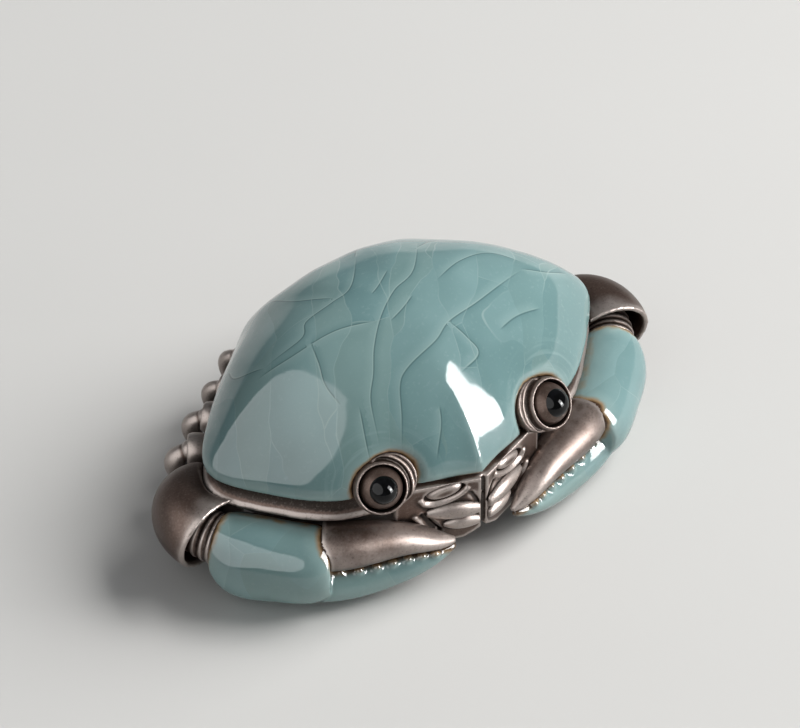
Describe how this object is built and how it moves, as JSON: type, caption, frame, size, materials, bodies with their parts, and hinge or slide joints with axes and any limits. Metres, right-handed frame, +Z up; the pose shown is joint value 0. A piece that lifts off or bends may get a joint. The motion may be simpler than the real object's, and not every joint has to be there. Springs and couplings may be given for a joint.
{
  "type": "crab figurine",
  "caption": "Hollow fired-clay crab ornament: domed crackle-glazed shell and glazed claws on a bare bronze-brown clay body, black bead eyes, flat foot to rest on.",
  "frame": {"origin": "middle of the flat foot, on the surface that it rests on", "axes": "+Z up, -Y where the face looks, +X to the crab's own left"},
  "size_m": [0.0968, 0.0569, 0.0413],
  "materials": {
    "celadon_glaze": "glossy blue-green crackle glaze over brown clay",
    "bronze_clay": "bare fired clay with a bronze sheen and a fine sandy grain",
    "black_gloss": "black gloss bead"
  },
  "bodies": {
    "root": {"antennule_left": "bronze_clay", "antennule_right": "bronze_clay", "belly_apron": "bronze_clay", "carapace": "celadon_glaze", "claw_elbow_left": "bronze_clay", "claw_elbow_right": "bronze_clay", "claw_finger_left": "bronze_clay", "claw_finger_right": "bronze_clay", "claw_palm_left": "celadon_glaze", "claw_palm_right": "celadon_glaze", "claw_wrist_left": "bronze_clay", "claw_wrist_right": "bronze_clay", "eye_socket_left": "bronze_clay", "eye_socket_right": "bronze_clay", "eyeball_left": "bronze_clay", "eyeball_right": "bronze_clay", "face_plate": "bronze_clay", "lower_leg_left_1": "bronze_clay", "lower_leg_left_2": "bronze_clay", "lower_leg_left_3": "bronze_clay", "lower_leg_left_4": "bronze_clay", "lower_leg_right_1": "bronze_clay", "lower_leg_right_2": "bronze_clay", "lower_leg_right_3": "bronze_clay", "lower_leg_right_4": "bronze_clay", "lower_mouthpart_left": "bronze_clay", "lower_mouthpart_right": "bronze_clay", "pupil_left": "black_gloss", "pupil_right": "black_gloss", "underbody": "bronze_clay", "upper_leg_left_1": "bronze_clay", "upper_leg_left_2": "bronze_clay", "upper_leg_left_3": "bronze_clay", "upper_leg_left_4": "bronze_clay", "upper_leg_right_1": "bronze_clay", "upper_leg_right_2": "bronze_clay", "upper_leg_right_3": "bronze_clay", "upper_leg_right_4": "bronze_clay", "upper_mouthpart_left": "bronze_clay", "upper_mouthpart_right": "bronze_clay"}
  },
  "joints": []
}
